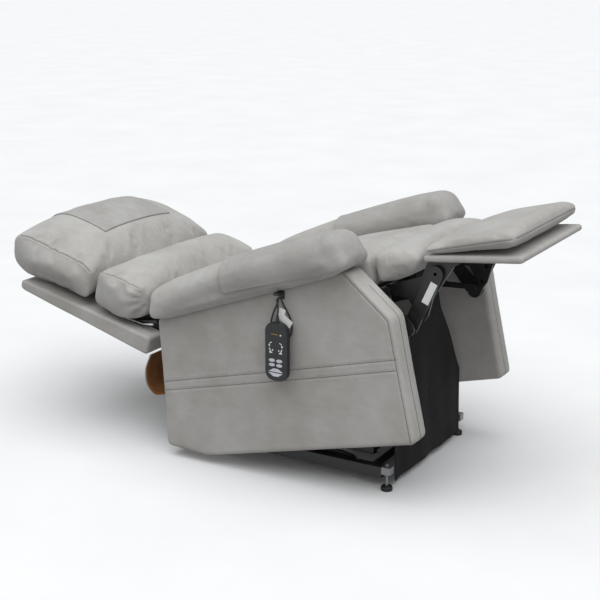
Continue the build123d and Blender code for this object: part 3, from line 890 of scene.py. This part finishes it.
def pad_shape(x, v, w):
    side = min(1.0, abs(x) / PAD_HALF)
    w -= 13 * smooth(w, 505, 532) * side ** 3
    v += 10 * smooth(v, -300, -358) * side ** 8
    return x, v, w


pad = cushion("calf_cushion", seat_view, PAD, "calf_pad", "footrest", pad_shape, pad_edge, 12, 1, 6, bulge=2,
              voxel=4, wander=(1.1, 110, 13))
PAD_SEAM = [(-100, 503), (-200, 503), (-300, 503), (-345, 503)]
pad_lines = [[seat_view(sign * (PAD_HALF - 1), v, w) for v, w in PAD_SEAM] for sign in (-1, 1)]
pad_lines.append([seat_view(x, -357, 503) for x in (-240, -120, 0, 120, 240)])
sew("calf_seam", pad, pad_lines, "footrest", depth=1.2, width=4.5, raise_by=0.5, thread=0.7)

BOARD = [(-77, 477), (-80, 495.5), (-354, 454.8), (-359, 450), (-356, 435)]
low, high = width_of("footrest_board")
board = soft_body("footrest_panel", seat_view, BOARD, low, high, GREY, "footrest", edge=6, corner=7,
                  spacing=7, replaced=("footrest_board",))
remesh(board, 4, 2)
board_lines = [[seat_view(sign * 225, v, w) for v, w in ((-358, 449), (-357, 437))] for sign in (-1, 1)]
sew("board_seam", board, board_lines, "footrest", depth=0.8, width=3.5, raise_by=0.3, thread=0.6)

# ---------------------------------------------------------------- front skirt

SKIRT = [(13.5, 604), (-0.5, 440), (-7.5, 300), (-11.5, 150), (-15.5, 24)]
FRONT_FEET = -475.3


def skirt_half(z):
    """Half the cloth's width: full below, narrowing to its neck and again to its top."""
    neck = min(1, max(0, (z - 230) / 230))
    top = min(1, max(0, (z - 460) / 160))
    return 236 - 141 * neck - 35 * top


def make_skirt():
    line = curled([(y + FRONT_FEET, z) for y, z in SKIRT], 10)
    mesh = bmesh.new()
    rows = []
    count = 60
    for y, z in line:
        half = skirt_half(z)
        row = []
        for k in range(count + 1):
            x = half * (2 * k / count - 1)
            hang = smooth(z, 600, 200)
            fold = (2.2 * sin(x / 31 + 0.6) + 1.6 * sin(x / 17 + z / 140)) * hang
            row.append(mesh.verts.new(floor_view(x, y + fold, z)))
        rows.append(row)
    for row, following in zip(rows, rows[1:]):
        for k in range(count):
            mesh.faces.new((row[k], row[k + 1], following[k + 1], following[k]))
    bmesh.ops.recalc_face_normals(mesh, faces=mesh.faces)
    skirt = mesh_object("skirt_cloth", mesh, BLACK_CLOTH, None, ("front_skirt",))
    solid = skirt.modifiers.new("thickness", "SOLIDIFY")
    solid.thickness = 1.6 * MM
    solid.offset = 0
    apply_modifiers(skirt)
    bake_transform(skirt)


make_skirt()

# ---------------------------------------------------------------- metal and plastic CAD nodes

# The first finish whose words begin a node's name is the one it gets, and the rest are black steel.
FINISHES = [(("key_",), KEYS), (("handset_shell", "handset_hook"), SHELL), (("glide_pad",), GLIDE),
            (("lift_motor_rod", "recline_motor_rod"), BRIGHT_STEEL),
            (("lift_motor_housing", "recline_motor_housing", "control_box"), MOTOR),
            (("base_front_bracket",), GREY_STEEL)]


def finish_of(name):
    for starts, material in FINISHES:
        if name.startswith(starts):
            return material
    return BLACK_STEEL


def dress_nodes():
    """Give every CAD node a finish. Replaced nodes get one too, and stay hidden."""
    for name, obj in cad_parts.items():
        obj.data.materials.clear()
        obj.data.materials.append(finish_of(name))


dress_nodes()

# ---------------------------------------------------------------- handset print and small details


def on_handset(across, up, proud=0.0):
    return floor_view(HANDSET[0] - 11 - proud, HANDSET[1] - across, HANDSET[2] + up)


def printed(name, outline, material, proud=0.25):
    """A flat mark on the handset's face, from an outline in its own view."""
    mesh = bmesh.new()
    front = [mesh.verts.new(on_handset(a, b, proud)) for a, b in outline]
    rear = [mesh.verts.new(on_handset(a, b, -0.05)) for a, b in outline]
    mesh.faces.new(front)
    mesh.faces.new(list(reversed(rear)))
    for i in range(len(front)):
        mesh.faces.new((front[i - 1], front[i], rear[i], rear[i - 1]))
    bmesh.ops.recalc_face_normals(mesh, faces=mesh.faces)
    data = bpy.data.meshes.new(name)
    mesh.to_mesh(data)
    mesh.free()
    return link_object(name, data, material, "handset")


def disc(across, up, radius, sides=20):
    angles = [2 * pi * k / sides for k in range(sides)]
    return [(across + radius * cos(a), up + radius * sin(a)) for a in angles]


def arc_band(across, up, radius, thick, start, end, sides=14):
    angles = [radians(start + (end - start) * k / sides) for k in range(sides + 1)]
    outside = [(across + (radius + thick) * cos(a), up + (radius + thick) * sin(a)) for a in angles]
    inside = [(across + radius * cos(a), up + radius * sin(a)) for a in reversed(angles)]
    return outside + inside


def print_handset():
    printed("handset_mark_line", [(-14, 51.6), (8, 51.6), (8, 53), (-14, 53)], AMBER)
    printed("handset_mark_light", disc(16, 51.5, 2.6), PAPER)
    for sign in (-1, 1):
        name = "front" if sign < 0 else "rear"
        middle = 16 * sign
        printed(f"handset_arrow_bow_{name}",
                arc_band(middle - 5 * sign, 19, 8.5, 2.2, 90 - 78 * sign, 90 - 8 * sign), PAPER)
        printed(f"handset_arrow_head_{name}",
                [(middle + 1.6 * sign, 16), (middle + 8.4 * sign, 18), (middle + 3.2 * sign, 24)], PAPER)
        printed(f"handset_chair_back_{name}",
                [(middle - 1.6, 1), (middle + 1.6, 0), (middle + 4.6 * sign + 1.4, 11),
                 (middle + 4.6 * sign - 1.4, 11.6)], PAPER)
        printed(f"handset_chair_seat_{name}",
                [(middle - 5, -3), (middle + 5, -3), (middle + 5, 0.4), (middle - 5, 0.4)], PAPER)
        printed(f"handset_chair_dot_{name}", disc(middle - 6 * sign, 6, 2.2), PAPER)


print_handset()


def label(name, corners, material, body, thickness=0.5):
    """A thin blank label through four corners, with its back."""
    mesh = bmesh.new()
    normal = (corners[1] - corners[0]).cross(corners[2] - corners[1]).normalized() * (thickness * MM)
    front = [mesh.verts.new(p) for p in corners]
    rear = [mesh.verts.new(p - normal) for p in corners]
    mesh.faces.new(front)
    mesh.faces.new(list(reversed(rear)))
    for i in range(4):
        mesh.faces.new((front[i - 1], front[i], rear[i], rear[i - 1]))
    bmesh.ops.subdivide_edges(mesh, edges=mesh.edges, cuts=4, use_grid_fill=True)
    bmesh.ops.recalc_face_normals(mesh, faces=mesh.faces)
    data = bpy.data.meshes.new(name)
    mesh.to_mesh(data)
    mesh.free()
    return link_object(name, data, material, body)


LINK_ROD = [(176, 62), (120, 64), (60, 72), (22, 86)]
LINK_BRACKET = [(96, 58), (64, 61), (30, 74), (14, 92), (22, 100), (44, 90), (100, 66)]
TAGS = [[(-14, 88), (6, 82), (17, 118), (-3, 124)], [(-8, 96), (30, 68), (42, 86), (6, 112)]]
BRACE_FOOT, BRACE_TOP = Vector((10, 300)), Vector((-97.7, 437.9))
BRACE_LABEL = [(-33, -10.5), (33, -10.5), (33, 10.5), (-33, 10.5)]

for side, sign in (("left", 1), ("right", -1)):
    tube(f"back_link_rod_{side}", [back_view(sign * 286, *p) for p in LINK_ROD], 3.2, BRIGHT_STEEL, "back",
         sides=12)
    soft_body(f"back_link_bracket_{side}", back_view, LINK_BRACKET, *sorted((sign * 274, sign * 280)),
              BLACK_STEEL, "back", edge=1.2, corner=4, spacing=6, slot="black_steel")
for number, places in enumerate(TAGS, 1):
    corners = [floor_view(-383 - 3 * number, HANDSET[1] - a, HANDSET[2] + b) for a, b in places]
    label(f"blank_tag_{number}", corners, PAPER, "handset", 0.3)
along = (BRACE_TOP - BRACE_FOOT).normalized()
beside = Vector((-along.y, along.x))
middle_of_label = BRACE_FOOT + along * 118 + beside * 9
low, high = width_of("footrest_brace_right")
corners = [seat_view(low - 0.4, *(middle_of_label + along * a + beside * b)) for a, b in BRACE_LABEL]
label("brace_label", corners, PAPER, "footrest_braces")

bpy.context.view_layer.update()
